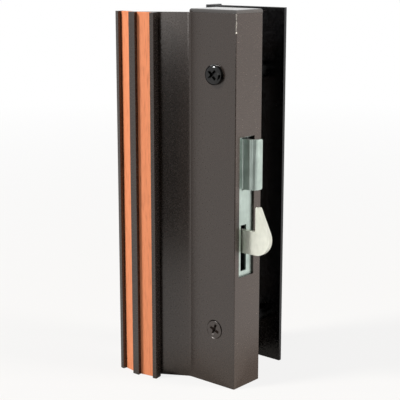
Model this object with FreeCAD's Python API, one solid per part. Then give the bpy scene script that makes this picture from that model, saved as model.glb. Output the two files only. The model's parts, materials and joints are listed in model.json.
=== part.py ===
import FreeCAD, Part
import math
import os

V = FreeCAD.Vector

# Sliding patio door handle that clamps on the edge of the door, with a hook latch.
# Frame: +Z up, +X towards the jamb, +Y from the room to the outdoors.
# Origin: midway between the two clamp screws, on the plane of the door's inner face.

# Inside extrusion: a box that opens to the door, a slanting web and a grooved grip
body_height = 203.2
box_width = 31.75
box_depth = 22.2
wall = 1.8
jamb_wall = 1.1
back_lip = 4.0
corner_round = 0.6
web_length = 29.25
web_thickness = 2.0
web_angle = 30.0
web_fillet = 4.0
grip_tilt = 10.0
grip_base = 1.4
rib_height = 3.4
middle_rib = 3.2
edge_rib = 2.4
groove_width = 9.4
groove_lean = 0.3
strip_thickness = 1.2
strip_clearance = 0.05

# Cap on the top of the box
cap_thickness = 1.9
cap_chamfer = 0.6
cap_skirt = 8.0
cap_wall = 1.5
cap_clearance = 0.15

# Clamp screws, their sleeves and the threaded barrels that take them
screw_spacing = 139.7
screw_to_side = 14.0
screw_d = 4.8
screw_clearance = 0.2
thread_clearance = 0.04
pan_head_d = 10.9
pan_top_d = 8.5
pan_head_height = 2.8
pan_rim = 0.9
flat_head_d = 10.2
flat_rim = 0.25
countersink_clearance = 0.3
recess_length = 6.6
recess_width = 1.6
recess_depth = 1.7
upper_recess_turn = 45.0
lower_recess_turn = 22.0
spacer_d = 11.0
spacer_wall = 1.4
boss_d = 9.0
boss_length = 12.0
boss_floor = 1.4
boss_spigot_d = 6.4
screw_end_gap = 2.0

# Outside plate, one sheet folded at its far end into a finger lip
door_thickness = 19.05
plate_thickness = 2.0
plate_width = 57.0
plate_height = 200.0
plate_rise = 3.5
lip_depth = 12.0
lip_bend = 1.5

# Window in the side of the box, and the thumb slide behind it
window_width = 12.6
window_height = 76.2
window_from_front = 3.6
window_drop = 0.7
slide_thickness = 1.5
slide_clearance = 0.2
slide_travel = 6.0
slide_back_cover = 2.1
slot_width = 4.6
slot_height = 25.4
slot_from_window_front = 3.1
slot_from_window_bottom = 2.9
tab_height = 27.2
tab_below_window_top = 1.0
tab_from_front = 8.0
tab_reach = 6.8
tab_bend = 1.0
tab_curl = 3.0
tab_return = 2.0
tab_corner = 1.2
tab_relief = 0.5
spring_shelf_drop = 1.2

# Latch hook, its pivot and the stud that the slide drives
hook_thickness = 2.6
hook_from_front = 7.7
hook_swing = 22.0
shank_height = 12.8
shank_top_gap = 2.4
throat_out = 7.5
tip_rise = 13.6
tip_width = 2.3
tip_round = 0.9
bulb_radius = 9.3
bulb_out = 17.0
tail_radius = 5.0
pivot_from_side = 23.0
pin_d = 4.0
pin_clearance = 0.05
pin_head_d = 7.0
pin_head = 1.2
clip_thickness = 0.8
clip_d = 7.0
clip_groove_d = 3.2
clip_mouth = 2.6
sleeve_wall = 1.5
sleeve_gap = 0.1
stud_d = 3.0
stud_clearance = 0.15
stud_end_gap = 0.3
leg_height = 8.0
leg_margin = 1.6

# Folded case that carries the latch, with its screws and guide studs
case_sheet = 1.2
case_front_gap = 0.6
case_rear_gap = 3.3
case_end = 3.0
case_rear_flange = 5.6
case_screw_d = 3.5
case_screw_spacing = 60.0
case_screw_head_d = 6.5
case_screw_head = 2.2
case_screw_past = 2.0
guide_d = 3.0
guide_clearance = 0.15
guide_past_window = 5.6
guide_edge = 2.0

# Spring that lifts the slide
spring_d = 6.4
spring_wire = 0.8
spring_length = 22.0
spring_turns = 7
spring_seat_gap = 0.05
shelf_side_gap = 0.5

# Two places closer than this are one place
near = 0.001

# Places worked out from the sizes above
side_x = screw_to_side
left_x = side_x - box_width
front_y = -box_depth
top_z = body_height / 2
in_left = left_x + wall
in_right = side_x - jamb_wall
in_front = front_y + wall
screw_z = screw_spacing / 2
plate_in = door_thickness
plate_out = door_thickness + plate_thickness

window_front = front_y + window_from_front
window_back = window_front + window_width
window_top = window_height / 2 - window_drop
window_bottom = -window_height / 2 - window_drop

slide_out = in_right - slide_clearance
slide_in = slide_out - slide_thickness
slide_front = in_front + slide_clearance
slide_back = window_back + slide_back_cover
slot_front = window_front + slot_from_window_front
slot_back = slot_front + slot_width
slot_bottom = window_bottom + slot_from_window_bottom
slot_top = slot_bottom + slot_height
tab_front = front_y + tab_from_front
tab_top = window_top - tab_below_window_top
tab_bottom = tab_top - tab_height

hook_front = front_y + hook_from_front
hook_back = hook_front + hook_thickness
shank_top = slot_top - shank_top_gap
shank_bottom = shank_top - shank_height
pivot_x = side_x - pivot_from_side
pivot_z = (shank_top + shank_bottom) / 2
half_swing = math.radians(hook_swing / 2)
stud_arm = slide_travel / (2 * math.sin(half_swing))
stud_x = pivot_x + stud_arm * math.cos(half_swing)
stud_z = pivot_z + stud_arm * math.sin(half_swing)
stud_sweep = stud_arm * (1 - math.cos(half_swing))

leg_back = slot_front
leg_front = leg_back - slide_thickness
case_in_front = leg_front - case_front_gap
case_in_back = hook_back + case_rear_gap
case_right = slide_in - slide_clearance
guide_y = case_in_back + case_rear_flange / 2
guide_top = window_top + guide_past_window
guide_bottom = window_bottom - guide_past_window - slide_travel
guide_slot_half = guide_d / 2 + guide_clearance
slide_top = guide_top + slide_travel + guide_slot_half + guide_edge
slide_bottom = guide_bottom - guide_slot_half - guide_edge
case_top = guide_top + case_end
case_bottom = guide_bottom - case_end

shelf_top = window_top + spring_shelf_drop
shelf_z = shelf_top - spring_length
spring_y = (case_in_front + case_in_back) / 2
spring_x = slide_in - spring_d / 2 - 2 * shelf_side_gap


def block(x, y, z):
    return Part.makeBox(x[1] - x[0], y[1] - y[0], z[1] - z[0], V(x[0], y[0], z[0]))


def rod_y(x, z, y_low, y_high, radius):
    return Part.makeCylinder(radius, y_high - y_low, V(x, y_low, z), V(0, 1, 0))


def rod_x(y, z, x_low, x_high, radius):
    return Part.makeCylinder(radius, x_high - x_low, V(x_low, y, z), V(1, 0, 0))


def prism(points, z_low, z_high):
    """Solid of an XY outline between two heights."""
    corners = [V(x, y, z_low) for x, y in points]
    face = Part.Face(Part.makePolygon(corners + corners[:1]))
    return face.extrude(V(0, 0, z_high - z_low))


def round_upright(shape, spots, radius):
    """Round the upright edges that stand on the given XY spots."""
    chosen = []
    for edge in shape.Edges:
        size, middle = edge.BoundBox, edge.CenterOfMass
        upright = size.XLength < near and size.YLength < near
        if upright and any(math.hypot(middle.x - x, middle.y - y) < near for x, y in spots):
            chosen.append(edge)
    return shape.makeFillet(radius, chosen)


def long_hole(y, z_low, z_high, half_width, x_low, x_high):
    """Upright slot with round ends, cut along X."""
    middle = block((x_low, x_high), (y - half_width, y + half_width), (z_low, z_high))
    ends = [rod_x(y, z, x_low, x_high, half_width) for z in (z_low, z_high)]
    return middle.multiFuse(ends)


# Grip section, measured from the crest along each tilted panel
web_turn = math.radians(web_angle)
web_along = (-math.cos(web_turn), -math.sin(web_turn))
web_behind = (-math.sin(web_turn), math.cos(web_turn))
crest_x = left_x + web_length * web_along[0]
crest_y = front_y + web_length * web_along[1]


def grip_point(side, along, out):
    tilt = math.radians(grip_tilt)
    x = crest_x + side * (along * math.cos(tilt) + out * math.sin(tilt))
    y = crest_y + along * math.sin(tilt) - out * math.cos(tilt)
    return x, y


groove_start = middle_rib / 2
groove_end = groove_start + groove_width
grip_edge = groove_end + edge_rib


def grip_half(side):
    """Outline of one half of the grip, from the crest's rib to the edge's back."""
    return [
        grip_point(side, groove_start, rib_height),
        grip_point(side, groove_start, strip_thickness),
        grip_point(side, groove_start - groove_lean, 0),
        grip_point(side, groove_end + groove_lean, 0),
        grip_point(side, groove_end, strip_thickness),
        grip_point(side, groove_end, rib_height),
        grip_point(side, grip_edge, rib_height),
        grip_point(side, grip_edge, -grip_base),
    ]


def web_point(along, behind):
    x = left_x + along * web_along[0] + behind * web_behind[0]
    y = front_y + along * web_along[1] + behind * web_behind[1]
    return x, y


def make_pull_body():
    ends = (-top_z, top_z)
    body = block((left_x, side_x), (front_y, 0), ends)
    body = round_upright(body, [(side_x, front_y), (side_x, 0), (left_x, 0)], corner_round)
    body = body.cut(block((in_left, in_right), (in_front, -wall), ends))
    body = body.cut(block((left_x + back_lip, side_x - back_lip), (-wall, 0), ends))
    bite = grip_base / 2
    web = prism([
        web_point(-wall, 0),
        web_point(web_length - bite, 0),
        web_point(web_length + bite, web_thickness),
        web_point(-wall, web_thickness),
    ], *ends)
    crest_back = (crest_x, crest_y + grip_base / math.cos(math.radians(grip_tilt)))
    grip = prism(grip_half(1) + [crest_back] + grip_half(-1)[::-1], *ends)
    body = body.multiFuse([web, grip]).removeSplitter()
    body = round_upright(body, [(left_x, front_y)], web_fillet)
    window = block((in_right - wall, side_x + wall), (window_front, window_back),
                   (window_bottom, window_top))
    hole_r = screw_d / 2 + screw_clearance
    holes = [rod_y(0, z, front_y - wall, in_front + wall, hole_r) for z in (-screw_z, screw_z)]
    holes.append(countersink(flat_head_d / 2 + countersink_clearance, front_y, -screw_z))
    hole_r = case_screw_d / 2 + thread_clearance
    holes += [rod_x(hook_front, z, left_x - wall, in_left + wall, hole_r) for z in case_screw_heights()]
    return body.cut(window.multiFuse(holes))


def countersink(radius, y, z):
    """Right-angled cone that opens towards the room."""
    return Part.makeCone(radius, 0, radius, V(0, y, z), V(0, 1, 0))


def case_screw_heights():
    return -case_screw_spacing / 2, case_screw_spacing / 2


def make_wood_strip(side):
    inner = groove_start + strip_clearance
    outer = groove_end - strip_clearance
    return prism([
        grip_point(side, inner - groove_lean, 0),
        grip_point(side, outer + groove_lean, 0),
        grip_point(side, outer, strip_thickness),
        grip_point(side, inner, strip_thickness),
    ], -top_z, top_z)


def make_top_cap():
    lid = block((left_x, side_x), (front_y, 0), (top_z, top_z + cap_thickness))
    rim = [edge for edge in lid.Edges if edge.BoundBox.ZMin > top_z + cap_thickness / 2]
    lid = lid.makeChamfer(cap_chamfer, rim)
    x = (in_left + cap_clearance, in_right - cap_clearance)
    y = (in_front + cap_clearance, -wall - cap_clearance)
    skirt = block(x, y, (top_z - cap_skirt, top_z))
    hollow = block((x[0] + cap_wall, x[1] - cap_wall), (y[0] + cap_wall, y[1] - cap_wall),
                   (top_z - cap_skirt, top_z))
    return lid.fuse(skirt.cut(hollow)).removeSplitter()


def cross_recess(y, z, turn):
    """Cross-shaped driver recess whose arms taper to the bottom."""
    reach = recess_length / 2
    half = recess_width / 2
    far_corner = (reach, recess_depth, half, half / 2, reach / 2)
    arm = Part.makeWedge(-reach, 0, -half, -half / 2, -reach / 2, *far_corner)
    other = arm.copy()
    other.rotate(V(0, 0, 0), V(0, 1, 0), 90)
    cross = arm.fuse(other)
    cross.rotate(V(0, 0, 0), V(0, 1, 0), turn)
    cross.translate(V(0, y, z))
    return cross


def screw_end():
    return plate_in - boss_floor - screw_end_gap


def make_upper_screw():
    face = front_y - pan_head_height
    shank = rod_y(0, screw_z, front_y, screw_end(), screw_d / 2)
    rim = rod_y(0, screw_z, front_y - pan_rim, front_y, pan_head_d / 2)
    crown_height = pan_head_height - pan_rim
    crown = Part.makeCone(pan_top_d / 2, pan_head_d / 2, crown_height, V(0, face, screw_z), V(0, 1, 0))
    blank = shank.multiFuse([rim, crown]).removeSplitter()
    return blank.cut(cross_recess(face, screw_z, upper_recess_turn))


def make_lower_screw():
    shank = rod_y(0, -screw_z, front_y, screw_end(), screw_d / 2)
    rim = rod_y(0, -screw_z, front_y, front_y + flat_rim, flat_head_d / 2)
    cone = countersink(flat_head_d / 2, front_y + flat_rim, -screw_z)
    blank = shank.multiFuse([rim, cone]).removeSplitter()
    return blank.cut(cross_recess(front_y, -screw_z, lower_recess_turn))


def make_spacer(z):
    sleeve = rod_y(0, z, in_front, 0, spacer_d / 2)
    return sleeve.cut(rod_y(0, z, in_front, 0, spacer_d / 2 - spacer_wall))


def make_outside_plate():
    far_x = side_x - plate_width
    inner = far_x + plate_thickness
    sheet = prism([
        (side_x, plate_in),
        (side_x, plate_out),
        (inner, plate_out),
        (inner, plate_out + lip_depth),
        (far_x, plate_out + lip_depth),
        (far_x, plate_in),
    ], plate_rise - plate_height / 2, plate_rise + plate_height / 2)
    sheet = round_upright(sheet, [(inner, plate_out)], lip_bend)
    sheet = round_upright(sheet, [(far_x, plate_in)], lip_bend + plate_thickness)
    holes = [rod_y(0, z, plate_in, plate_out, boss_spigot_d / 2) for z in (-screw_z, screw_z)]
    return sheet.cut(Part.makeCompound(holes))


def make_boss(z):
    barrel = rod_y(0, z, plate_in - boss_length, plate_in, boss_d / 2)
    spigot = rod_y(0, z, plate_in, plate_out, boss_spigot_d / 2)
    thread = rod_y(0, z, plate_in - boss_length, plate_in - boss_floor, screw_d / 2 + thread_clearance)
    return barrel.fuse(spigot).cut(thread)


def make_thumb_slide():
    sheet = block((slide_in, slide_out), (slide_front, slide_back), (slide_bottom, slide_top))
    bend_y = tab_front - tab_bend
    sheet = sheet.cut(block((slide_in, slide_out), (bend_y, slide_back),
                            (tab_bottom - tab_relief, tab_top + tab_relief)))
    sheet = sheet.cut(block((slide_in, slide_out), (slot_front, slot_back), (slot_bottom, slot_top)))
    for z in (guide_bottom, guide_top):
        sheet = sheet.cut(long_hole(guide_y, z, z + slide_travel, guide_slot_half, slide_in, slide_out))
    shelf = block((spring_x - spring_d / 2, slide_in),
                  (spring_y - spring_d / 2, spring_y + spring_d / 2),
                  (shelf_top, shelf_top + slide_thickness))
    leg = block((stud_x - stud_d / 2 - leg_margin, slide_in), (leg_front, leg_back),
                (stud_z - leg_height / 2, stud_z + leg_height / 2))
    return sheet.multiFuse([make_tab(), shelf, leg.cut(make_leg_slot())]).removeSplitter()


def make_tab():
    """Thumb tab: folded out of the slide, with its free edge curled back."""
    tip_x = side_x + tab_reach
    curl_out = tab_curl + slide_thickness
    tab_back = tab_front + slide_thickness
    end_y = tab_front + curl_out + tab_return
    tab = prism([
        (slide_in, slide_front),
        (slide_out, slide_front),
        (slide_out, tab_front),
        (tip_x, tab_front),
        (tip_x, end_y),
        (tip_x - slide_thickness, end_y),
        (tip_x - slide_thickness, tab_back),
        (slide_in, tab_back),
    ], tab_bottom, tab_top)
    tab = round_upright(tab, [(slide_out, tab_front)], tab_bend)
    tab = round_upright(tab, [(slide_in, tab_back)], tab_bend + slide_thickness)
    tab = round_upright(tab, [(tip_x - slide_thickness, tab_back)], tab_curl)
    tab = round_upright(tab, [(tip_x, tab_front)], curl_out)
    corners = [edge for edge in tab.Edges
               if edge.BoundBox.YMin > end_y - near and edge.BoundBox.ZLength < near]
    return tab.makeFillet(tab_corner, corners_across(corners))


def corners_across(edges):
    """Edges that run through the sheet's thickness along X."""
    return [edge for edge in edges if edge.BoundBox.XLength > slide_thickness / 2]


def make_leg_slot():
    half = stud_d / 2 + stud_clearance
    ends = (stud_x, stud_x + stud_sweep)
    middle = block((ends[0] - stud_clearance, ends[1] + stud_clearance), (leg_front, leg_back),
                   (stud_z - half, stud_z + half))
    rounds = [rod_y(ends[0] - stud_clearance, stud_z, leg_front, leg_back, half),
              rod_y(ends[1] + stud_clearance, stud_z, leg_front, leg_back, half)]
    return middle.multiFuse(rounds)


def make_latch_hook():
    throat_x = side_x + throat_out
    tip_z = shank_top + tip_rise
    bulb_x = side_x + bulb_out - bulb_radius
    bulb_z = shank_bottom + bulb_radius
    tip_x = throat_x + tip_width
    reach = math.hypot(tip_x - bulb_x, tip_z - bulb_z)
    touch = math.atan2(tip_z - bulb_z, tip_x - bulb_x) - math.acos(bulb_radius / reach)

    def at(x, z):
        return V(x, hook_front, z)

    def on_bulb(angle):
        return at(bulb_x + bulb_radius * math.cos(angle), bulb_z + bulb_radius * math.sin(angle))

    tail = math.acos(tail_radius / (shank_height / 2 + tail_radius))
    tail_front = pivot_x + tail_radius + tail_radius * math.sin(tail)
    arc_middle = (touch - math.pi / 2) / 2
    edges = [
        Part.LineSegment(at(tail_front, shank_top), at(throat_x, shank_top)).toShape(),
        Part.LineSegment(at(throat_x, shank_top), at(throat_x, tip_z)).toShape(),
        Part.LineSegment(at(throat_x, tip_z), at(tip_x, tip_z)).toShape(),
        Part.LineSegment(at(tip_x, tip_z), on_bulb(touch)).toShape(),
        Part.Arc(on_bulb(touch), on_bulb(arc_middle), on_bulb(-math.pi / 2)).toShape(),
        Part.LineSegment(on_bulb(-math.pi / 2), at(tail_front, shank_bottom)).toShape(),
        Part.LineSegment(at(tail_front, shank_bottom), at(pivot_x, pivot_z - tail_radius)).toShape(),
        Part.Arc(at(pivot_x, pivot_z - tail_radius), at(pivot_x - tail_radius, pivot_z),
                 at(pivot_x, pivot_z + tail_radius)).toShape(),
        Part.LineSegment(at(pivot_x, pivot_z + tail_radius), at(tail_front, shank_top)).toShape(),
    ]
    hook = Part.Face(Part.Wire(edges)).extrude(V(0, hook_thickness, 0))
    tip = [edge for edge in hook.Edges
           if edge.BoundBox.ZMin > tip_z - near and edge.BoundBox.YLength > hook_thickness / 2]
    hook = hook.makeFillet(tip_round, tip)
    hook = hook.cut(rod_y(pivot_x, pivot_z, hook_front, hook_back, pin_d / 2 + pin_clearance))
    return hook.cut(rod_y(stud_x, stud_z, hook_front, hook_back, stud_d / 2))


def make_drive_stud():
    return rod_y(stud_x, stud_z, leg_front - stud_end_gap, hook_back, stud_d / 2)


def make_latch_case():
    front = case_in_front - case_sheet
    back = case_in_back + case_sheet
    ends = (case_bottom, case_top)
    flange_x = (case_right - case_sheet, case_right)
    bridge = block((in_left, in_left + case_sheet), (front, back), ends)
    cheeks = [block((in_left, case_right), (front, case_in_front), ends),
              block((in_left, case_right), (case_in_back, back), ends)]
    flange = block(flange_x, (case_in_back, case_in_back + case_rear_flange), ends)
    shelf = block((spring_x - spring_d / 2, spring_x + spring_d / 2),
                  (case_in_front, spring_y + spring_d / 2), (shelf_z - case_sheet, shelf_z))
    case = bridge.multiFuse(cheeks + [flange, shelf]).removeSplitter()
    holes = [rod_y(pivot_x, pivot_z, front, back, pin_d / 2 + pin_clearance)]
    screw_r = case_screw_d / 2 + thread_clearance
    holes += [rod_x(hook_front, z, in_left, in_left + case_sheet, screw_r) for z in case_screw_heights()]
    holes += [rod_x(guide_y, z, *flange_x, guide_d / 2) for z in (guide_bottom, guide_top)]
    return case.cut(Part.makeCompound(holes))


def make_case_screws():
    screws = []
    for z in case_screw_heights():
        shank = rod_x(hook_front, z, left_x, in_left + case_sheet + case_screw_past, case_screw_d / 2)
        head = rod_x(hook_front, z, left_x - case_screw_head, left_x, case_screw_head_d / 2)
        screws.append(shank.fuse(head))
    return Part.makeCompound(screws)


def make_guide_studs():
    return Part.makeCompound([rod_x(guide_y, z, case_right - case_sheet, slide_out, guide_d / 2)
                              for z in (guide_bottom, guide_top)])


def make_pivot_pin():
    front = case_in_front - case_sheet
    back = case_in_back + case_sheet
    shank = rod_y(pivot_x, pivot_z, front, back + 2 * clip_thickness, pin_d / 2)
    head = rod_y(pivot_x, pivot_z, front - pin_head, front, pin_head_d / 2)
    ring = rod_y(pivot_x, pivot_z, back, back + clip_thickness, pin_head_d / 2)
    groove = ring.cut(rod_y(pivot_x, pivot_z, back, back + clip_thickness, clip_groove_d / 2))
    return shank.fuse(head).cut(groove)


def make_pivot_clip():
    back = case_in_back + case_sheet
    ring = rod_y(pivot_x, pivot_z, back, back + clip_thickness, clip_d / 2)
    ring = ring.cut(rod_y(pivot_x, pivot_z, back, back + clip_thickness, clip_groove_d / 2))
    mouth = block((pivot_x - clip_d, pivot_x), (back, back + clip_thickness),
                  (pivot_z - clip_mouth / 2, pivot_z + clip_mouth / 2))
    return ring.cut(mouth)


def make_sleeve(y_low, y_high):
    bore = pin_d / 2 + pin_clearance
    sleeve = rod_y(pivot_x, pivot_z, y_low, y_high, bore + sleeve_wall)
    return sleeve.cut(rod_y(pivot_x, pivot_z, y_low, y_high, bore))


def make_slide_spring():
    radius = (spring_d - spring_wire) / 2
    rise = spring_length - spring_wire - 2 * spring_seat_gap
    helix = Part.makeHelix(rise / spring_turns, rise, radius)
    section = Part.Wire([Part.makeCircle(spring_wire / 2, V(radius, 0, 0), V(0, 1, 0))])
    spring = Part.Wire(helix).makePipeShell([section], True, True)
    spring.translate(V(spring_x, spring_y, shelf_z + spring_wire / 2 + spring_seat_gap))
    return spring


def main():
    parts = {
        "pull_body": make_pull_body(),
        "outer_wood_strip": make_wood_strip(-1),
        "inner_wood_strip": make_wood_strip(1),
        "top_cap": make_top_cap(),
        "upper_clamp_screw": make_upper_screw(),
        "lower_clamp_screw": make_lower_screw(),
        "upper_spacer": make_spacer(screw_z),
        "lower_spacer": make_spacer(-screw_z),
        "outside_plate": make_outside_plate(),
        "upper_boss": make_boss(screw_z),
        "lower_boss": make_boss(-screw_z),
        "thumb_slide": make_thumb_slide(),
        "latch_hook": make_latch_hook(),
        "drive_stud": make_drive_stud(),
        "latch_case": make_latch_case(),
        "case_screws": make_case_screws(),
        "guide_studs": make_guide_studs(),
        "pivot_pin": make_pivot_pin(),
        "pivot_clip": make_pivot_clip(),
        "front_sleeve": make_sleeve(case_in_front, hook_front - sleeve_gap),
        "rear_sleeve": make_sleeve(hook_back + sleeve_gap, case_in_back),
        "slide_spring": make_slide_spring(),
    }
    os.makedirs("parts", exist_ok=True)
    for name, shape in parts.items():
        shape.exportStep("parts/" + name + ".step")
        print(name, shape.isValid(), len(shape.Solids), round(shape.Volume, 2))


main()
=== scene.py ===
# %% [markdown]
# # A clamp-on handle for a sliding patio door
#
# The real handle is a black painted aluminium extrusion with two wood strips in its grip, a zinc-plated
# thumb slide and hook in its side, and a thin black plate that clamps on the other face of the door.
# A solid model of it already exists, at its real size. This lesson gives that model its looks: edges that
# catch the light, screws with threads and driver recesses, a coiled spring, and a finish for every surface.

# %% Load the solid model
import json
import math

import bmesh
import bpy
from mathutils import Matrix, Vector

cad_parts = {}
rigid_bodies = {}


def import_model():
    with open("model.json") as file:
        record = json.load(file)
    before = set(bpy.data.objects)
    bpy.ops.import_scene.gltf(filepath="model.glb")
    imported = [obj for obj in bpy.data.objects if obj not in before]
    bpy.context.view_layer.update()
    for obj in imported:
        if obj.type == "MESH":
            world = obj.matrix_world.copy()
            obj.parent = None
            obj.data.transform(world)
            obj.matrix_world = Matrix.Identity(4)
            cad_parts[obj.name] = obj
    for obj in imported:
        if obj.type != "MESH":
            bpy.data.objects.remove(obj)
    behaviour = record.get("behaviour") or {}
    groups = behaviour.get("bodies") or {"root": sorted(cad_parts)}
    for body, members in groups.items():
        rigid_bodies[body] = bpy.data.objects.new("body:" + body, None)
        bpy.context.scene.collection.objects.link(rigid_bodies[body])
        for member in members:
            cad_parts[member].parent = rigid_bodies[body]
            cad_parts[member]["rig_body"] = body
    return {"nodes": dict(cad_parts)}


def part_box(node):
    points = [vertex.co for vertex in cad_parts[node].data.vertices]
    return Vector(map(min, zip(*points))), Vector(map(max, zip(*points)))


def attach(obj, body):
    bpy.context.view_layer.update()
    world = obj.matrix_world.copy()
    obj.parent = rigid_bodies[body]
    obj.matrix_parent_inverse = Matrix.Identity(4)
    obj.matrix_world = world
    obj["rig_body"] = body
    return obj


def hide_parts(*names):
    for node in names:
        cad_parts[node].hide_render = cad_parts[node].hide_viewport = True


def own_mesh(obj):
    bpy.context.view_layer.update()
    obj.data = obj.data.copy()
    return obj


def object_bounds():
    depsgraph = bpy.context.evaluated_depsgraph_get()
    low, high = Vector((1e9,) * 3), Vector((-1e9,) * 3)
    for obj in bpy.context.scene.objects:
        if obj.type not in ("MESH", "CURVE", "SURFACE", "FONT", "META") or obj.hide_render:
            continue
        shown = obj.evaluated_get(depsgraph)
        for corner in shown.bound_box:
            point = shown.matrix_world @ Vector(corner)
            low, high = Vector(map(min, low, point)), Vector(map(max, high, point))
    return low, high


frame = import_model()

cad_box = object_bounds()
nodes = frame["nodes"]
MM = 0.001
print("nodes", len(nodes), "size in mm", [round(side / MM, 1) for side in cad_box[1] - cad_box[0]])

# %% [markdown]
# ## Tools for node trees and colours
#
# Materials and Geometry Nodes are both trees of nodes, so one function can add a node to either. It takes
# the node's settings and its inputs, and an input can be a plain value or another node's output.
# Colours are written as the sRGB hex values that a paint chart gives. Blender mixes light in linear values,
# so every hex value goes through one function. Patterns are sized in millimetres in the same way.

# %% Node and colour tools
def add(tree, kind, inputs=(), **settings):
    node = tree.nodes.new(kind)
    for key, value in settings.items():
        setattr(node, key, value)
    for key, value in dict(inputs).items():
        socket = node.inputs[key]
        if isinstance(value, bpy.types.NodeSocket):
            tree.links.new(value, socket)
        else:
            socket.default_value = value
    return node


def srgb(hex_code):
    parts = [int(hex_code[i:i + 2], 16) / 255 for i in (1, 3, 5)]
    linear = [c / 12.92 if c <= 0.04045 else ((c + 0.055) / 1.055) ** 2.4 for c in parts]
    return (*linear, 1.0)


def per_mm(size):
    """Pattern scale that makes one feature this many millimetres wide."""
    return 1 / (size * MM)


def start_material(name, **shader_values):
    """A material with one shader, its output, and the piece's own coordinates."""
    material = bpy.data.materials.new(name)
    material.use_nodes = True
    tree = material.node_tree
    tree.nodes.clear()
    values = {key.replace("_", " "): value for key, value in shader_values.items()}
    shader = add(tree, "ShaderNodeBsdfPrincipled", values)
    add(tree, "ShaderNodeOutputMaterial", {"Surface": shader.outputs["BSDF"]})
    place = add(tree, "ShaderNodeTexCoord").outputs["Object"]
    return material, tree, shader, place


# The sockets of a Mix node that mixes colours: the second colour's share, the two colours, and the result.
SHARE, FIRST, SECOND, MIXED = 0, 6, 7, 2
print("a paint written as #261f1b is", [round(c, 4) for c in srgb("#261f1b")[:3]], "in linear light")

# %% [markdown]
# ## Paint
#
# The extrusion is sprayed with a satin enamel that is nearly black, with a brown cast. Most of the grey on
# its flat faces is the white studio, mirrored softly in the paint. Sprayed paint dries with a fine pebble,
# called orange peel, and catches a few pale specks of dust. Its gloss varies a little too. All that breaks up
# the reflection of a lamp, so a flat face never looks like a sheet of plastic. The pebble is under a
# millimetre wide, and it is drawn a little coarser here so that it shows.
#
# At the top of the sharp front corner a painted highlight runs as a pale line, down to one small pale spot.
# The distance from that corner, in the piece's own coordinates, says where.

# %% Sprayed enamel
def dust(tree, place, colour, share):
    """A few pale specks at the hearts of Voronoi cells. Their sizes are shares of a cell."""
    cell_mm, rim, heart = 8, 0.04, 0.015
    cells = add(tree, "ShaderNodeTexVoronoi", {"Vector": place, "Scale": per_mm(cell_mm)})
    near = add(tree, "ShaderNodeMapRange", {"Value": cells.outputs["Distance"], "From Min": rim,
                                            "From Max": heart, "To Max": share})
    specked = add(tree, "ShaderNodeMix", {SHARE: near.outputs["Result"], FIRST: colour,
                                          SECOND: srgb("#b9b4aa")}, data_type="RGBA")
    return specked.outputs[MIXED]


def paint_corner_highlight(tree, place, colour, corner):
    """Painted highlight: a faint ragged pale line up a corner from the given point, and a pale spot there."""
    x, y, z = corner
    ragged_mm, line_mm, line_share, pale_spot_mm = 1.2, 0.8, 0.4, 0.55
    flat = add(tree, "ShaderNodeVectorMath", {0: place, 1: (1, 1, 0)}, operation="MULTIPLY")
    away = add(tree, "ShaderNodeVectorMath", {0: flat.outputs[0], 1: (x, y, 0)}, operation="DISTANCE")
    ragged = add(tree, "ShaderNodeTexNoise", {"Vector": place, "Scale": per_mm(ragged_mm), "Detail": 2.0})
    width = add(tree, "ShaderNodeMath", {0: ragged.outputs["Fac"], 1: line_mm * MM}, operation="MULTIPLY")
    on_corner_line = add(tree, "ShaderNodeMath", {0: away.outputs["Value"], 1: width.outputs[0]},
                 operation="LESS_THAN")
    height = add(tree, "ShaderNodeSeparateXYZ", {"Vector": place})
    above = add(tree, "ShaderNodeMath", {0: height.outputs["Z"], 1: z}, operation="GREATER_THAN")
    highlight = add(tree, "ShaderNodeMath", {0: on_corner_line.outputs[0], 1: above.outputs[0]}, operation="MULTIPLY")
    thin = add(tree, "ShaderNodeMath", {0: highlight.outputs[0], 1: line_share}, operation="MULTIPLY")
    from_pale_spot = add(tree, "ShaderNodeVectorMath", {0: place, 1: corner}, operation="DISTANCE")
    pale_spot = add(tree, "ShaderNodeMath", {0: from_pale_spot.outputs["Value"], 1: pale_spot_mm * MM}, operation="LESS_THAN")
    highlight_share = add(tree, "ShaderNodeMath", {0: thin.outputs[0], 1: pale_spot.outputs[0]}, operation="MAXIMUM")
    highlighted_colour = add(tree, "ShaderNodeMix", {SHARE: highlight_share.outputs[0], FIRST: colour,
                                                SECOND: srgb("#aca8a0")}, data_type="RGBA")
    return highlighted_colour.outputs[MIXED]


def sprayed_enamel(name, tone, shade, roughness, peel_mm, peel_depth_mm, specks=0.0, highlight_corner=None,
                   gloss=0.5, sheen="#ffffff"):
    cloud_mm = 28
    material, tree, shader, place = start_material(name, Specular_IOR_Level=gloss, Specular_Tint=srgb(sheen))
    cloud = add(tree, "ShaderNodeTexNoise", {"Vector": place, "Scale": per_mm(cloud_mm), "Detail": 4.0})
    pebble = add(tree, "ShaderNodeTexNoise", {"Vector": place, "Scale": per_mm(peel_mm), "Detail": 2.0})
    colour = add(tree, "ShaderNodeMix", {SHARE: cloud.outputs["Fac"], FIRST: srgb(tone), SECOND: srgb(shade)},
                 data_type="RGBA").outputs[MIXED]
    rough = add(tree, "ShaderNodeMapRange", {"Value": pebble.outputs["Fac"], "From Min": 0.3, "From Max": 0.7,
                                             "To Min": roughness - 0.05, "To Max": roughness + 0.06})
    bump = add(tree, "ShaderNodeBump", {"Height": pebble.outputs["Fac"], "Strength": 0.35,
                                        "Distance": peel_depth_mm * MM})
    if specks:
        colour = dust(tree, place, colour, specks)
    # Where a corner is given, a painted highlight runs up it.
    if highlight_corner:
        colour = paint_corner_highlight(tree, place, colour, highlight_corner)
    tree.links.new(colour, shader.inputs["Base Color"])
    tree.links.new(rough.outputs["Result"], shader.inputs["Roughness"])
    tree.links.new(bump.outputs["Normal"], shader.inputs["Normal"])
    return material


corner_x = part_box("outside_plate")[1].x
corner_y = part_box("lower_clamp_screw")[0].y
# Height of the pale spot where the painted highlight line begins.
pale_spot_z = 92 * MM
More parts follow.
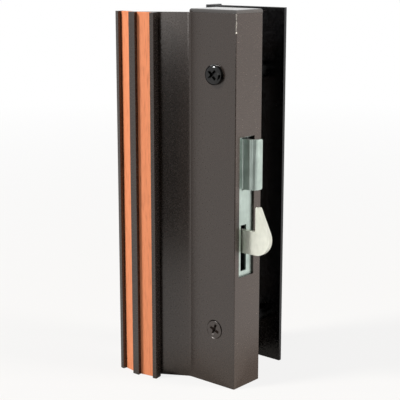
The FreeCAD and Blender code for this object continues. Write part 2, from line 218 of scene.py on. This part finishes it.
# Satin brown-black: soft grey sheens on the flat faces, warmed by bronze pigment, and a fine grain.
# Its front corner gets a painted highlight: a pale line above a pale spot.
bronze_black = sprayed_enamel("bronze_black_enamel", "#261f1b", "#201a17", 0.24, 0.7, 0.018, specks=0.1,
                              highlight_corner=(corner_x, corner_y, pale_spot_z), gloss=0.78, sheen="#fff7f2")
# A lighter brown-black with less pebble: the cap's flat top mirrors the white studio.
cap_black = sprayed_enamel("bronze_black_cap_enamel", "#2e2926", "#282421", 0.1, 0.9, 0.01, gloss=1.0)
# Deep gloss black: sharp streaks of light on black.
gloss_black = sprayed_enamel("gloss_black_enamel", "#050506", "#030304", 0.2, 1.4, 0.03, specks=0.25)
# Black lacquer: small hard glints on the screw heads.
screw_black = sprayed_enamel("black_screw_lacquer", "#080808", "#050505", 0.12, 0.5, 0.02, gloss=0.4)
print("worn corner at", round(corner_x / MM, 2), round(corner_y / MM, 2), "mm")

# %% [markdown]
# ## Wood strips
#
# The strips are a salmon-brown softwood, sanded and sealed. Straight grain shows as long fine streaks, and
# the darker ones are pores. A noise pattern that is stretched along the strip gives both: the same noise at
# two widths, one for the broad bands of colour and one for the pores.

# %% Sealed wood
def sealed_wood(name, light, dark, pore):
    band_width, band_length = per_mm(1.6), per_mm(60)
    pore_width, pore_length = per_mm(0.4), per_mm(7)
    pore_depth_mm = 0.08
    material, tree, shader, place = start_material(name, Roughness=0.5, Specular_IOR_Level=0.35)
    broad = add(tree, "ShaderNodeMapping", {"Vector": place, "Scale": (band_width, band_width, band_length)})
    fine = add(tree, "ShaderNodeMapping", {"Vector": place, "Scale": (pore_width, pore_width, pore_length)})
    bands = add(tree, "ShaderNodeTexNoise", {"Vector": broad.outputs["Vector"], "Scale": 1.0, "Detail": 3.0})
    pores = add(tree, "ShaderNodeTexNoise", {"Vector": fine.outputs["Vector"], "Scale": 1.0, "Detail": 2.0})
    base = add(tree, "ShaderNodeMix", {SHARE: bands.outputs["Fac"], FIRST: srgb(light), SECOND: srgb(dark)},
               data_type="RGBA")
    depth = add(tree, "ShaderNodeMapRange", {"Value": pores.outputs["Fac"], "From Min": 0.5, "From Max": 0.72,
                                             "To Min": 0.0, "To Max": 0.6})
    colour = add(tree, "ShaderNodeMix", {SHARE: depth.outputs["Result"], FIRST: base.outputs[MIXED],
                                         SECOND: srgb(pore)}, data_type="RGBA")
    bump = add(tree, "ShaderNodeBump", {"Height": depth.outputs["Result"], "Strength": 0.3,
                                        "Distance": pore_depth_mm * MM}, invert=True)
    tree.links.new(colour.outputs[MIXED], shader.inputs["Base Color"])
    tree.links.new(bump.outputs["Normal"], shader.inputs["Normal"])
    return material


# Sealed softwood: a warm salmon-brown with long fine streaks and a soft sheen.
strip_wood = sealed_wood("sealed_salmon_wood", "#da8a61", "#ce7b52", "#a55c3a")
print("wood", strip_wood.name)

# %% [markdown]
# ## Zinc plate
#
# The slide and the hook are stamped steel with a zinc plating. Zinc is a metal, so its colour is the colour
# of its reflection: a cool grey with a hint of green from the passivation. The rolled sheet under it leaves
# fine lines, which stretch the reflections. The hook is tumbled before it is plated, so it is duller and
# warmer.

# %% Zinc plating
def zinc_plate(name, tone, shade, roughness, line_width, line_length):
    """Line sizes are in millimetres."""
    blotch_mm, line_depth_mm = 5, 0.03
    material, tree, shader, place = start_material(name, Metallic=1.0)
    along = add(tree, "ShaderNodeMapping",
                {"Vector": place, "Scale": (per_mm(line_width), per_mm(line_width), per_mm(line_length))})
    lines = add(tree, "ShaderNodeTexNoise", {"Vector": along.outputs["Vector"], "Scale": 1.0, "Detail": 3.0})
    blotch = add(tree, "ShaderNodeTexNoise", {"Vector": place, "Scale": per_mm(blotch_mm), "Detail": 2.0})
    both = add(tree, "ShaderNodeMath", {0: lines.outputs["Fac"], 1: blotch.outputs["Fac"]},
               operation="MULTIPLY")
    share = add(tree, "ShaderNodeMapRange", {"Value": both.outputs[0], "From Min": 0.12, "From Max": 0.4})
    colour = add(tree, "ShaderNodeMix", {SHARE: share.outputs["Result"], FIRST: srgb(shade),
                                         SECOND: srgb(tone)}, data_type="RGBA")
    gloss = add(tree, "ShaderNodeMapRange", {"Value": lines.outputs["Fac"], "From Min": 0.3, "From Max": 0.7,
                                             "To Min": roughness - 0.06, "To Max": roughness + 0.08})
    bump = add(tree, "ShaderNodeBump", {"Height": lines.outputs["Fac"], "Strength": 0.2,
                                        "Distance": line_depth_mm * MM})
    tree.links.new(colour.outputs[MIXED], shader.inputs["Base Color"])
    tree.links.new(gloss.outputs["Result"], shader.inputs["Roughness"])
    tree.links.new(bump.outputs["Normal"], shader.inputs["Normal"])
    return material


# Cool silver with upright streaks, from the rolled sheet.
slide_zinc = zinc_plate("zinc_plated_sheet", "#d0ded6", "#b8c6be", 0.4, 0.4, 18)
# Pale and nearly matt, with soft blotches.
hook_zinc = zinc_plate("zinc_plated_hook", "#ecece0", "#e0e1d4", 0.5, 1.5, 3)
# Darker plating for the parts in the box.
inner_steel = zinc_plate("plated_inner_steel", "#a9aeac", "#8d9391", 0.38, 0.6, 8)
# Grey wire with short bright lines.
spring_steel = zinc_plate("bare_spring_wire", "#8f9194", "#74777a", 0.3, 0.3, 2)
print("metals", [m.name for m in (slide_zinc, hook_zinc, inner_steel, spring_steel)])

# %% [markdown]
# ## Edges that catch the light
#
# A solid model has knife-sharp edges, but a real edge is always a little round: it is drawn by the die,
# tumbled or filled by the paint. The thin bright line on it tells the eye how big the thing is. Each visible
# solid is copied, its triangles are merged into whole faces, and a Bevel modifier rounds the edges. The bevel
# only takes material away, so the piece stays inside the solid that it stands for.

# %% Round the edges of the visible solids
def new_piece(name, mesh, material):
    piece = bpy.data.objects.new(name, mesh)
    bpy.context.scene.collection.objects.link(piece)
    mesh.materials.clear()
    mesh.materials.append(material)
    return piece


def bake(piece):
    """Turn what the modifiers make into the piece's own mesh."""
    depsgraph = bpy.context.evaluated_depsgraph_get()
    mesh = bpy.data.meshes.new_from_object(piece.evaluated_get(depsgraph))
    piece.modifiers.clear()
    piece.data = mesh
    return mesh


def finish_mesh(piece):
    """Smooth the rounds, mark only the real corners as sharp, and let the large faces shade flat."""
    mesh = bake(piece)
    mesh.polygons.foreach_set("use_smooth", [True] * len(mesh.polygons))
    mesh.set_sharp_from_angle(angle=math.radians(32))
    flat = piece.modifiers.new("flat_faces", "WEIGHTED_NORMAL")
    flat.weight = 100
    flat.keep_sharp = True
    bake(piece)
    return piece


def fit(piece, node):
    """The piece rides on the node's body and is seen in its stead."""
    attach(piece, nodes[node]["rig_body"])
    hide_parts(node)
    print(piece.name, "has", len(piece.data.polygons), "faces")


def soften(node, name, material, slot, edge_mm):
    mesh = nodes[node].data.copy()
    work = bmesh.new()
    work.from_mesh(mesh)
    bmesh.ops.remove_doubles(work, verts=work.verts, dist=0.001 * MM)
    bmesh.ops.dissolve_limit(work, angle_limit=math.radians(1), verts=work.verts, edges=work.edges)
    work.to_mesh(mesh)
    work.free()
    piece = new_piece(name, mesh, material)
    bevel = piece.modifiers.new("edge", "BEVEL")
    bevel.width = edge_mm * MM
    bevel.segments = 3
    bevel.limit_method = "ANGLE"
    bevel.angle_limit = math.radians(35)
    fit(finish_mesh(piece), node)


# Solid, new piece, finish, slot, and the width of the rounded edge in millimetres.
softened = [
    ("pull_body", "painted_extrusion", bronze_black, "body_paint", 0.25),
    ("top_cap", "painted_end_cap", cap_black, "cap_paint", 0.2),
    ("outside_plate", "outside_finger_plate", gloss_black, "plate_paint", 0.3),
    ("outer_wood_strip", "outer_grip_strip", strip_wood, "wood", 0.2),
    ("inner_wood_strip", "inner_grip_strip", strip_wood, "wood", 0.2),
    ("thumb_slide", "stamped_thumb_slide", slide_zinc, "zinc", 0.2),
    ("latch_hook", "stamped_latch_hook", hook_zinc, "hook_zinc", 0.45),
    ("upper_boss", "upper_threaded_barrel", screw_black, "black_screw", 0.4),
    ("lower_boss", "lower_threaded_barrel", screw_black, "black_screw", 0.4),
]
for row in softened:
    soften(*row)

# %% [markdown]
# ## Screws
#
# A screw is turned or headed, so its outline is spun round its axis. The upper clamp screw has a proud pan
# head in glossy black lacquer. The cross recess is a tapered cross that a Boolean modifier takes out of the
# head. All sizes of a screw are in millimetres, with its seat at height 0, until its mesh is made.

# %% A turned screw with a cross recess
def turned(rows, steps=48):
    """A closed mesh spun from (radius, height) rows, from the point at the bottom to the top of the head."""
    work = bmesh.new()
    angles = [2 * math.pi * i / steps for i in range(steps)]
    rings = []
    for radius, height in rows:
        if radius == 0:
            rings.append([work.verts.new((0, 0, height))])
        else:
            rings.append([work.verts.new((radius * math.cos(a), radius * math.sin(a), height))
                          for a in angles])
    for low, high in zip(rings, rings[1:]):
        for i in range(steps):
            following = i + 1
            ends = [low[i % len(low)], low[following % len(low)],
                    high[following % len(high)], high[i % len(high)]]
            work.faces.new(list(dict.fromkeys(ends)))
    bmesh.ops.recalc_face_normals(work, faces=work.faces)
    mesh = bpy.data.meshes.new("turned")
    work.to_mesh(mesh)
    work.free()
    return mesh


def cross_cutter(top, reach, half, depth, turn):
    """A cross that starts just above the head's top, a little larger there, and tapers to half its size."""
    def outline(a, b, z):
        corners = [(a, b), (b, b), (b, a), (-b, a), (-b, b), (-a, b), (-a, -b), (-b, -b), (-b, -a), (b, -a),
                   (b, -b), (a, -b)]
        return [(u, v, z) for u, v in corners]

    above = outline(reach * 1.05, half * 1.03, top + 0.1 * depth)
    below = outline(reach * 0.5, half * 0.5, top - depth)
    count = len(above)
    sides = [(i, (i + 1) % count, count + (i + 1) % count, count + i) for i in range(count)]
    mesh = bpy.data.meshes.new("cross")
    mesh.from_pydata(above + below, [], [tuple(range(count))[::-1], tuple(range(count, 2 * count)), *sides])
    mesh.transform(Matrix.Rotation(turn, 4, "Z"))
    work = bmesh.new()
    work.from_mesh(mesh)
    bmesh.ops.recalc_face_normals(work, faces=work.faces)
    work.to_mesh(mesh)
    work.free()
    return mesh


def make_screw(name, rows, recess, turn, place, material):
    top = rows[-1][1]
    scaled = [(radius * MM, height * MM) for radius, height in rows]
    piece = new_piece(name, turned(scaled), material)
    reach, half, depth = recess
    mesh = cross_cutter(top * MM, reach * MM, half * MM, depth * MM, math.radians(turn))
    cutter = new_piece(name + "_cutter", mesh, material)
    cut = piece.modifiers.new("recess", "BOOLEAN")
    cut.object = cutter
    cut.solver = "EXACT"
    finish_mesh(piece)
    bpy.data.objects.remove(cutter)
    piece.data.transform(place)
    return piece


def facing(point, direction):
    """Turn a screw from its own upright axis to the way that its head faces."""
    return Matrix.Translation(point) @ Vector(direction).to_track_quat("Z", "Y").to_matrix().to_4x4()


pan_low, pan_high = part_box("upper_clamp_screw")
flat_low, flat_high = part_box("lower_clamp_screw")
seat_y = flat_low.y
screw_z = (pan_low.z + pan_high.z) / 2
head_r = (pan_high.x - pan_low.x) / 2 / MM
head_h = (seat_y - pan_low.y) / MM
shank = (pan_high.y - seat_y) / MM
core_r, tip_length, tip_narrowing = 2.05, 0.6, 0.5
shank_rows = [(0, -shank), (core_r - tip_narrowing, -shank), (core_r, tip_length - shank)]
# The outline of a pan head, as shares of its radius and its height.
pan_head = [(1.0, 0.0), (1.0, 0.42), (0.985, 0.6), (0.945, 0.76), (0.885, 0.88), (0.83, 0.94), (0.79, 0.98),
            (0.755, 1.0), (0, 1.0)]
pan_rows = shank_rows + [(core_r, 0)] + [(head_r * r, head_h * h) for r, h in pan_head]
# Reach of an arm, half its width, and depth.
clamp_recess = (3.3, 0.8, 1.7)
upper = make_screw("pan_head_clamp_screw", pan_rows, clamp_recess, 45,
                   facing((0, seat_y, screw_z), (0, -1, 0)), screw_black)
fit(upper, "upper_clamp_screw")

# %% [markdown]
# ## The flat head
#
# The lower clamp screw has a flat head that sits in a countersink, painted over with the box. It is a little
# off the middle, so that the gap round it shows as a dark crescent. Its outline is a cone with a narrow
# chamfer at its rim.

# %% The lower clamp screw
rim_gap, sunk, chamfer = 0.15, 0.1, 0.15
flat_r = (flat_high.x - flat_low.x) / 2 / MM - rim_gap
flat_rows = shank_rows + [(core_r, core_r - flat_r - sunk), (flat_r, -sunk - chamfer),
                          (flat_r - chamfer, -sunk), (0, -sunk)]
off_middle = -0.26 * MM
lower = make_screw("flat_head_clamp_screw", flat_rows, clamp_recess, -22,
                   facing((off_middle, seat_y, -screw_z + off_middle), (0, -1, 0)), bronze_black)
fit(lower, "lower_clamp_screw")

# %% [markdown]
# ## Latch screws
#
# Two small pan heads on the far wall of the box hold the latch. They have the same outline as the large one,
# and they stand for one solid node, so their meshes are joined into one piece.

# %% Latch screws on the far wall
case_low, case_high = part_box("case_screws")
case_r = (case_high.y - case_low.y) / 2 / MM
small_h = 2.2
small_shank = (case_high.x - case_low.x) / MM - small_h
small_core = 1.4
small_rows = [(0, -small_shank), (small_core, -small_shank), (small_core, 0)]
small_rows += [(case_r * r, small_h * h) for r, h in pan_head]
small_recess = (1.9, 0.45, 1.2)
middle_y = (case_low.y + case_high.y) / 2
joined = bmesh.new()
for z in (case_low.z + case_r * MM, case_high.z - case_r * MM):
    seat = (case_low.x + small_h * MM, middle_y, z)
    screw = make_screw("latch_screw", small_rows, small_recess, 30, facing(seat, (-1, 0, 0)), screw_black)
    joined.from_mesh(screw.data)
    bpy.data.objects.remove(screw)
pair = bpy.data.meshes.new("latch_screws")
joined.to_mesh(pair)
joined.free()
fit(finish_mesh(new_piece("latch_screws", pair, screw_black)), "case_screws")

# %% [markdown]
# ## Threads
#
# A thread and a coil spring follow the same rule, a helix, so one Geometry Nodes tree makes both: a spiral
# curve gets a round or a pointed profile. A thread's ridge is repeated on both clamp screws, as instances on
# the points of a line, which are made real at the end.

# %% A helix in Geometry Nodes
def helix_tree():
    tree = bpy.data.node_groups.new("helix", "GeometryNodeTree")
    tree.interface.new_socket("Geometry", in_out="OUTPUT", socket_type="NodeSocketGeometry")
    ids = {}
    for name, kind in (("Radius", "Float"), ("Rise", "Float"), ("Turns", "Float"), ("Wire", "Float"),
                       ("Sides", "Int"), ("End rings", "Bool"), ("Copies", "Int"), ("First", "Vector"),
                       ("Step", "Vector"), ("Turn", "Rotation"), ("Finish", "Material")):
        socket = tree.interface.new_socket(name, in_out="INPUT", socket_type="NodeSocket" + kind)
        ids[name] = socket.identifier
    size = add(tree, "NodeGroupInput").outputs
    steps_a_turn = 28
    spiral = add(tree, "GeometryNodeCurveSpiral",
                 {"Resolution": steps_a_turn, "Rotations": size["Turns"], "Start Radius": size["Radius"],
                  "End Radius": size["Radius"], "Height": size["Rise"]})
    ring = add(tree, "GeometryNodeCurvePrimitiveCircle",
               {"Resolution": steps_a_turn, "Radius": size["Radius"]})
    up = add(tree, "ShaderNodeCombineXYZ", {"Z": size["Rise"]})
    top_ring = add(tree, "GeometryNodeTransform", {"Geometry": ring.outputs["Curve"],
                                                   "Translation": up.outputs["Vector"]})
    rings = add(tree, "GeometryNodeJoinGeometry", {"Geometry": ring.outputs["Curve"]})
    tree.links.new(top_ring.outputs["Geometry"], rings.inputs["Geometry"])
    closed = add(tree, "GeometryNodeSwitch", {"Switch": size["End rings"], "True": rings.outputs["Geometry"]},
                 input_type="GEOMETRY")
    paths = add(tree, "GeometryNodeJoinGeometry", {"Geometry": spiral.outputs["Curve"]})
    tree.links.new(closed.outputs["Output"], paths.inputs["Geometry"])
    profile = add(tree, "GeometryNodeCurvePrimitiveCircle",
                  {"Resolution": size["Sides"], "Radius": size["Wire"]})
    wire = add(tree, "GeometryNodeCurveToMesh",
               {"Curve": paths.outputs["Geometry"], "Profile Curve": profile.outputs["Curve"],
                "Fill Caps": True})
    points = add(tree, "GeometryNodeMeshLine", {"Count": size["Copies"], "Start Location": size["First"],
                                                "Offset": size["Step"]})
    copies = add(tree, "GeometryNodeInstanceOnPoints",
                 {"Points": points.outputs["Mesh"], "Instance": wire.outputs["Mesh"],
                  "Rotation": size["Turn"]})
    real = add(tree, "GeometryNodeRealizeInstances", {"Geometry": copies.outputs["Instances"]})
    dressed = add(tree, "GeometryNodeSetMaterial", {"Geometry": real.outputs["Geometry"],
                                                    "Material": size["Finish"]})
    add(tree, "NodeGroupOutput", {"Geometry": dressed.outputs["Geometry"]})
    return tree, ids


def grow(tree, ids, name, **sizes):
    piece = new_piece(name, bpy.data.meshes.new(name), sizes["Finish"])
    modifier = piece.modifiers.new("helix", "NODES")
    modifier.node_group = tree
    for key, value in sizes.items():
        modifier[ids[key.replace("_", " ")]] = value
    return finish_mesh(piece)


helix, helix_ids = helix_tree()
thread_pitch = 0.8
thread_from = -2.0
thread_length = pan_high.y / MM - tip_length - thread_from
ridge = 0.33 * MM
threads = grow(helix, helix_ids, "clamp_screw_threads", Radius=core_r * MM, Rise=thread_length * MM,
               Turns=thread_length / thread_pitch, Wire=ridge, Sides=4, End_rings=False, Copies=2,
               First=(0, thread_from * MM, -screw_z), Step=(0, 0, 2 * screw_z), Turn=(-math.pi / 2, 0, 0),
               Finish=screw_black)
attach(threads, nodes["upper_clamp_screw"]["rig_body"])
print("threads", len(threads.data.polygons), "faces,", [round(d / MM, 1) for d in threads.dimensions])

# %% [markdown]
# ## Spring
#
# The spring lifts the thumb slide. It is the same helix in round wire, with a closed ring at each end, where
# a real one is wound flat. The real spring shortens as the slide is pressed down.

# %% The slide's spring
spring_low, spring_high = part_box("slide_spring")
wire_r = 0.4 * MM
coils = 7.0
coil_r = (spring_high.x - spring_low.x) / 2 - wire_r
spring_length = spring_high.z - spring_low.z
foot = ((spring_low.x + spring_high.x) / 2, (spring_low.y + spring_high.y) / 2, spring_low.z + wire_r)
spring = grow(helix, helix_ids, "slide_coil_spring", Radius=coil_r, Rise=spring_length - 2 * wire_r,
              Turns=coils, Wire=wire_r, Sides=10, End_rings=True, Copies=1, First=foot, Step=(0, 0, 0),
              Turn=(0, 0, 0), Finish=spring_steel)
fit(spring, "slide_spring")
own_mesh(spring)
print("spring", [round(d / MM, 1) for d in spring.dimensions], "mm at rest")

# %% [markdown]
# ## Parts inside the box
#
# The tray, the pins, the sleeves and the spacers are folded or turned steel, hidden in the box or seen only
# through its window. Their solids have the right shape already, so they stay and only get a finish.

# %% Finish for the solids that stay as they are
plain = [name for name, node in nodes.items() if not node.hide_render]
for name in plain:
    nodes[name].data.materials.clear()
    nodes[name].data.materials.append(inner_steel)
print("plain steel inside", plain)

# %% [markdown]
# ## Studio
#
# The handle stands on a pale floor, against white. The world is white to the camera and in reflections, and
# dim as a lamp. The floor looks white too, a little greyer near the handle, and it keeps the handle's shadow.
# Close to the back of the box it goes dark in reflections, since little light would reach that corner.

# %% Floor
def flat_sheet(name, width, height, material):
    mesh = bpy.data.meshes.new(name)
    x, y = width / 2, height / 2
    mesh.from_pydata([(-x, -y, 0), (x, -y, 0), (x, y, 0), (-x, y, 0)], [], [(0, 1, 2, 3)])
    sheet = new_piece(name, mesh, material)
    return sheet


def seen_directly(tree, straight=1.0, mirrored=1.0):
    """How white the studio is to rays that look at it straight, or in a mirror or through glass."""
    path = add(tree, "ShaderNodeLightPath")
    bent = add(tree, "ShaderNodeMath", {0: path.outputs["Is Glossy Ray"],
                                        1: path.outputs["Is Transmission Ray"]}, operation="MAXIMUM")
    first = add(tree, "ShaderNodeMath", {0: path.outputs["Is Camera Ray"], 1: straight}, operation="MULTIPLY")
    second = add(tree, "ShaderNodeMath", {0: bent.outputs[0], 1: mirrored}, operation="MULTIPLY")
    both = add(tree, "ShaderNodeMath", {0: first.outputs[0], 1: second.outputs[0]}, operation="MAXIMUM")
    return both.outputs[0]


def empty_tree(owner):
    owner.use_nodes = True
    owner.node_tree.nodes.clear()
    return owner.node_tree


floor_size = 8.0
back_of_box = (-0.02, 0.02, 0)
floor_paint = bpy.data.materials.new("pale_floor")
floor_tree = empty_tree(floor_paint)
floor_place = add(floor_tree, "ShaderNodeTexCoord").outputs["Object"]
from_handle = add(floor_tree, "ShaderNodeVectorMath", {0: floor_place}, operation="LENGTH")
from_back = add(floor_tree, "ShaderNodeVectorMath", {0: floor_place, 1: back_of_box}, operation="DISTANCE")
straight = add(floor_tree, "ShaderNodeMapRange", {"Value": from_handle.outputs["Value"], "From Min": 0.2,
                                                  "From Max": 1.2, "To Min": 0.84, "To Max": 1.0})
mirrored = add(floor_tree, "ShaderNodeMapRange", {"Value": from_back.outputs["Value"], "From Min": 0.05,
                                                  "From Max": 0.1, "To Min": 0.05, "To Max": 0.86})
lit = seen_directly(floor_tree, straight.outputs["Result"], mirrored.outputs["Result"])
matt = add(floor_tree, "ShaderNodeBsdfDiffuse", {"Color": srgb("#b8b1a8")})
glow = add(floor_tree, "ShaderNodeEmission", {"Color": srgb("#ffffff"), "Strength": 1.0})
blend = add(floor_tree, "ShaderNodeMixShader", {0: lit, 1: matt.outputs[0], 2: glow.outputs[0]})
add(floor_tree, "ShaderNodeOutputMaterial", {"Surface": blend.outputs[0]})
floor = flat_sheet("floor", floor_size, floor_size, floor_paint)
floor.location.z = cad_box[0].z
print("floor at", round(floor.location.z / MM, 1), "mm")

# %% White world
lamp_level, white_level = 0.09, 1.0
world = bpy.data.worlds.new("white_studio")
bpy.context.scene.world = world
sky = empty_tree(world)
strength = add(sky, "ShaderNodeMapRange", {"Value": seen_directly(sky), "To Min": lamp_level,
                                           "To Max": white_level})
white = add(sky, "ShaderNodeBackground", {"Color": srgb("#ffffff"), "Strength": strength.outputs["Result"]})
add(sky, "ShaderNodeOutputWorld", {"Surface": white.outputs[0]})
print("world gives", lamp_level, "as a lamp and", white_level, "in view")

# %% [markdown]
# ## Card and lamps
#
# A low dark card stands in front of the web and shows only in reflections: it keeps the middle of the web
# dark. A lamp from the upper left lights the front, and leaves the grip's right side in shade. A lamp on the
# right, a little behind, lights the box's side, and no reflection shows it. A weak lamp in front gives a
# glint at the top of the web.

# %% Dark card
def spot(azimuth, elevation, distance):
    """A place round the handle. Azimuth 0 is in front, 90 is on the hook's side."""
    turn, rise = math.radians(azimuth), math.radians(elevation)
    flat = math.cos(rise)
    return Vector((math.sin(turn) * flat, -math.cos(turn) * flat, math.sin(rise))) * distance


def aim(thing, target):
    thing.rotation_mode = "QUATERNION"
    thing.rotation_quaternion = (target - thing.location).to_track_quat("-Z", "Y")


card_black = bpy.data.materials.new("black_card")
card_tree = empty_tree(card_black)
card_face = add(card_tree, "ShaderNodeBsdfDiffuse", {"Color": srgb("#050505")})
add(card_tree, "ShaderNodeOutputMaterial", {"Surface": card_face.outputs[0]})
card_width, card_height, card_lift = 0.55, 0.168, 0.001
card = flat_sheet("black_card", card_width, card_height, card_black)
card.location = spot(30, 0, 0.27) + Vector((0, 0, cad_box[0].z + card_height / 2 + card_lift))
aim(card, Vector((0, 0, card.location.z)))
card.visible_camera = False
card.visible_shadow = False
card.visible_diffuse = False
print("card at", [round(c, 3) for c in card.location])

# %% Lamps
def soft_lamp(name, azimuth, elevation, distance, size, power):
    data = bpy.data.lights.new(name, "AREA")
    data.shape = "DISK"
    data.size = size
    data.energy = power
    lamp = bpy.data.objects.new(name, data)
    bpy.context.scene.collection.objects.link(lamp)
    lamp.location = spot(azimuth, elevation, distance)
    aim(lamp, Vector((0, 0, 0)))
    print(name, "at", [round(c, 2) for c in lamp.location], power, "W")
    return lamp


soft_lamp("key_lamp", azimuth=-31, elevation=42, distance=2.0, size=0.45, power=54)
side_lamp = soft_lamp("side_lamp", azimuth=114, elevation=5, distance=1.4, size=0.5, power=70)
side_lamp.visible_glossy = False
soft_lamp("front_lamp", azimuth=6, elevation=3, distance=1.0, size=0.3, power=0.9)

# %% [markdown]
# ## Camera
#
# The handle is seen from the hook's side, a little above its middle, so that the top of the box is nearly
# edge-on. A long lens from 0.6 m keeps its upright edges nearly parallel.

# %% Camera
image_width = 400
focal_pixels = 1100
camera_data = bpy.data.cameras.new("camera")
camera_data.sensor_width = 36.0
camera_data.lens = camera_data.sensor_width * focal_pixels / image_width
camera = bpy.data.objects.new("camera", camera_data)
bpy.context.scene.collection.objects.link(camera)
look_at = Vector((-16.5, -15.0, -0.7)) * MM
camera.location = look_at + spot(40.5, 12.5, 605 * MM)
aim(camera, look_at)
bpy.context.scene.camera = camera
bpy.context.scene.view_settings.view_transform = "Standard"
print("camera at", [round(c, 3) for c in camera.location], "lens", round(camera_data.lens, 1), "mm")
